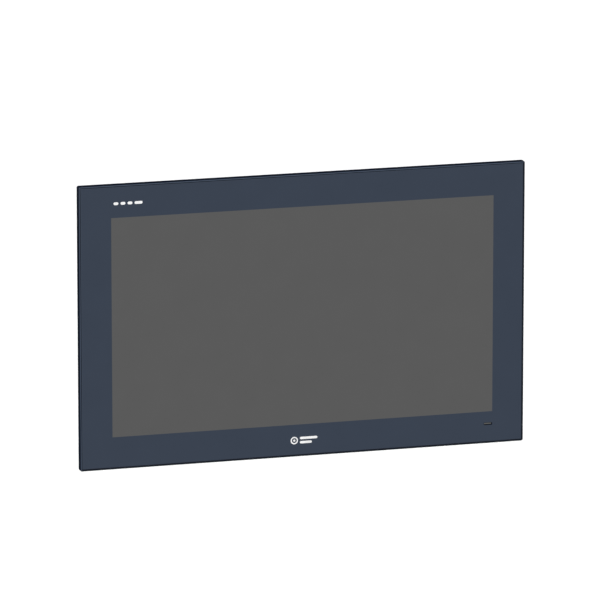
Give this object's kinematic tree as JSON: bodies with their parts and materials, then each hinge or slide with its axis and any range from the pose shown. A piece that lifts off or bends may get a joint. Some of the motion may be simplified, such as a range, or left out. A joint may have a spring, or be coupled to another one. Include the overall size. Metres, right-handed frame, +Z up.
{
  "type": "hmi touch panel",
  "caption": "Wide flush-mounted touch panel with a painted metal frame, a finned fanless computer box behind it, sockets facing down and screw clamps for a cabinet wall.",
  "frame": {"origin": "centre of the cabinet cutout, on the cabinet wall's outer surface, which is the rear face of the sealing ring", "axes": "+X to the right as an operator sees the screen, +Y into the cabinet, +Z up; the screen faces -Y"},
  "size_m": [0.5558, 0.0915, 0.3476],
  "materials": {
    "frame_paint": "satin dark blue-grey paint on die-cast aluminium",
    "front_glass": "anti-glare cover glass, printed dark blue-grey on its border",
    "screen": "unlit grey display",
    "black_rubber": "matt black",
    "clear_plastic": "frosted clear acrylic",
    "film": "thin polyester film",
    "circuit_board": "green solder mask with parts",
    "zinc_steel": "zinc-plated sheet steel",
    "tray_paint": "fine-textured grey powder coat on sheet steel",
    "steel_screw": "bright zinc-plated steel",
    "sink_aluminium": "black anodised",
    "bare_aluminium": "plain machined",
    "black_plastic": "moulded black",
    "green_plastic": "moulded green",
    "pad_plastic": "moulded black acetal",
    "red_plastic": "moulded red",
    "brass": "nickel-free brass"
  },
  "bodies": {
    "panel": {"front_frame": "frame_paint", "cover_glass": "front_glass", "glass_seal": "black_rubber", "panel_gasket": "black_rubber", "touch_sensor": "film", "status_light_pipe": "clear_plastic", "status_led_board": "circuit_board", "lcd_bezel": "zinc_steel", "lcd_cell": "screen", "optical_films": "film", "light_guide": "clear_plastic", "led_bar": "circuit_board", "lcd_back_plate": "zinc_steel", "rear_tray": "tray_paint", "touch_controller": "circuit_board", "backlight_driver": "circuit_board", "display_cable": "black_plastic", "box_chassis": "zinc_steel", "heat_sink": "sink_aluminium", "mainboard": "circuit_board", "cpu_spreader": "bare_aluminium", "memory_module": "circuit_board", "coin_cell": "steel_screw", "dc_inlet": "green_plastic", "serial_port": "zinc_steel", "ethernet_socket_1": "zinc_steel", "ethernet_socket_2": "zinc_steel", "usb_socket_1": "zinc_steel", "usb_socket_2": "zinc_steel", "power_switch_housing": "black_plastic", "earth_stud": "brass", "clamp_bracket_1": "zinc_steel", "clamp_bracket_2": "zinc_steel", "clamp_bracket_3": "zinc_steel", "clamp_bracket_4": "zinc_steel", "clamp_bracket_5": "zinc_steel", "clamp_bracket_6": "zinc_steel", "clamp_bracket_7": "zinc_steel", "clamp_bracket_8": "zinc_steel"},
    "clamp_foot_1": {"clamp_pad_1": "pad_plastic"},
    "clamp_spindle_1": {"clamp_screw_1": "steel_screw"},
    "clamp_foot_2": {"clamp_pad_2": "pad_plastic"},
    "clamp_spindle_2": {"clamp_screw_2": "steel_screw"},
    "clamp_foot_3": {"clamp_pad_3": "pad_plastic"},
    "clamp_spindle_3": {"clamp_screw_3": "steel_screw"},
    "clamp_foot_4": {"clamp_pad_4": "pad_plastic"},
    "clamp_spindle_4": {"clamp_screw_4": "steel_screw"},
    "clamp_foot_5": {"clamp_pad_5": "pad_plastic"},
    "clamp_spindle_5": {"clamp_screw_5": "steel_screw"},
    "clamp_foot_6": {"clamp_pad_6": "pad_plastic"},
    "clamp_spindle_6": {"clamp_screw_6": "steel_screw"},
    "clamp_foot_7": {"clamp_pad_7": "pad_plastic"},
    "clamp_spindle_7": {"clamp_screw_7": "steel_screw"},
    "clamp_foot_8": {"clamp_pad_8": "pad_plastic"},
    "clamp_spindle_8": {"clamp_screw_8": "steel_screw"},
    "rocker": {"power_rocker": "black_plastic"},
    "button": {"reset_button": "red_plastic"},
    "caddy": {"drive_caddy": "tray_paint", "solid_state_drive": "bare_aluminium"},
    "thumbscrew": {"caddy_thumbscrew": "steel_screw"}
  },
  "joints": [
    {"name": "clamp_travel_1", "type": "slide", "parent": "panel", "child": "clamp_foot_1", "axis": [0, -1, 0], "range_m": [0, 0.005]},
    {"name": "clamp_turn_1", "type": "hinge", "parent": "clamp_foot_1", "child": "clamp_spindle_1", "pos_m": [-0.17, 0.02, 0.1605], "axis": [0, -1, 0], "range_deg": [0, 2572]},
    {"name": "clamp_travel_2", "type": "slide", "parent": "panel", "child": "clamp_foot_2", "axis": [0, -1, 0], "range_m": [0, 0.005]},
    {"name": "clamp_turn_2", "type": "hinge", "parent": "clamp_foot_2", "child": "clamp_spindle_2", "pos_m": [0, 0.02, 0.1605], "axis": [0, -1, 0], "range_deg": [0, 2572]},
    {"name": "clamp_travel_3", "type": "slide", "parent": "panel", "child": "clamp_foot_3", "axis": [0, -1, 0], "range_m": [0, 0.005]},
    {"name": "clamp_turn_3", "type": "hinge", "parent": "clamp_foot_3", "child": "clamp_spindle_3", "pos_m": [0.17, 0.02, 0.1605], "axis": [0, -1, 0], "range_deg": [0, 2572]},
    {"name": "clamp_travel_4", "type": "slide", "parent": "panel", "child": "clamp_foot_4", "axis": [0, -1, 0], "range_m": [0, 0.005]},
    {"name": "clamp_turn_4", "type": "hinge", "parent": "clamp_foot_4", "child": "clamp_spindle_4", "pos_m": [-0.17, 0.02, -0.1605], "axis": [0, -1, 0], "range_deg": [0, 2572]},
    {"name": "clamp_travel_5", "type": "slide", "parent": "panel", "child": "clamp_foot_5", "axis": [0, -1, 0], "range_m": [0, 0.005]},
    {"name": "clamp_turn_5", "type": "hinge", "parent": "clamp_foot_5", "child": "clamp_spindle_5", "pos_m": [0, 0.02, -0.1605], "axis": [0, -1, 0], "range_deg": [0, 2572]},
    {"name": "clamp_travel_6", "type": "slide", "parent": "panel", "child": "clamp_foot_6", "axis": [0, -1, 0], "range_m": [0, 0.005]},
    {"name": "clamp_turn_6", "type": "hinge", "parent": "clamp_foot_6", "child": "clamp_spindle_6", "pos_m": [0.17, 0.02, -0.1605], "axis": [0, -1, 0], "range_deg": [0, 2572]},
    {"name": "clamp_travel_7", "type": "slide", "parent": "panel", "child": "clamp_foot_7", "axis": [0, -1, 0], "range_m": [0, 0.005]},
    {"name": "clamp_turn_7", "type": "hinge", "parent": "clamp_foot_7", "child": "clamp_spindle_7", "pos_m": [-0.26465, 0.02, 0], "axis": [0, -1, 0], "range_deg": [0, 2572]},
    {"name": "clamp_travel_8", "type": "slide", "parent": "panel", "child": "clamp_foot_8", "axis": [0, -1, 0], "range_m": [0, 0.005]},
    {"name": "clamp_turn_8", "type": "hinge", "parent": "clamp_foot_8", "child": "clamp_spindle_8", "pos_m": [0.26465, 0.02, 0], "axis": [0, -1, 0], "range_deg": [0, 2572]},
    {"name": "power_rock", "type": "hinge", "parent": "panel", "child": "rocker", "pos_m": [-0.128, 0.05, -0.1195], "axis": [0, 1, 0], "range_deg": [0, 18]},
    {"name": "reset_press", "type": "slide", "parent": "panel", "child": "button", "axis": [0, 0, 1], "range_m": [0, 0.0014], "stiffness_N_per_m": 250, "springref_m": -0.002},
    {"name": "caddy_slide", "type": "slide", "parent": "panel", "child": "caddy", "axis": [1, 0, 0], "range_m": [0, 0.112]},
    {"name": "thumbscrew_turn", "type": "hinge", "parent": "caddy", "child": "thumbscrew", "pos_m": [0.168, 0.0515, 0.033], "axis": [1, 0, 0], "range_deg": [0, 1080]}
  ],
  "couplings": [
    {"joint": "clamp_turn_1", "follows": "clamp_travel_1", "rad_per_m": 8976},
    {"joint": "clamp_turn_2", "follows": "clamp_travel_2", "rad_per_m": 8976},
    {"joint": "clamp_turn_3", "follows": "clamp_travel_3", "rad_per_m": 8976},
    {"joint": "clamp_turn_4", "follows": "clamp_travel_4", "rad_per_m": 8976},
    {"joint": "clamp_turn_5", "follows": "clamp_travel_5", "rad_per_m": 8976},
    {"joint": "clamp_turn_6", "follows": "clamp_travel_6", "rad_per_m": 8976},
    {"joint": "clamp_turn_7", "follows": "clamp_travel_7", "rad_per_m": 8976},
    {"joint": "clamp_turn_8", "follows": "clamp_travel_8", "rad_per_m": 8976}
  ]
}
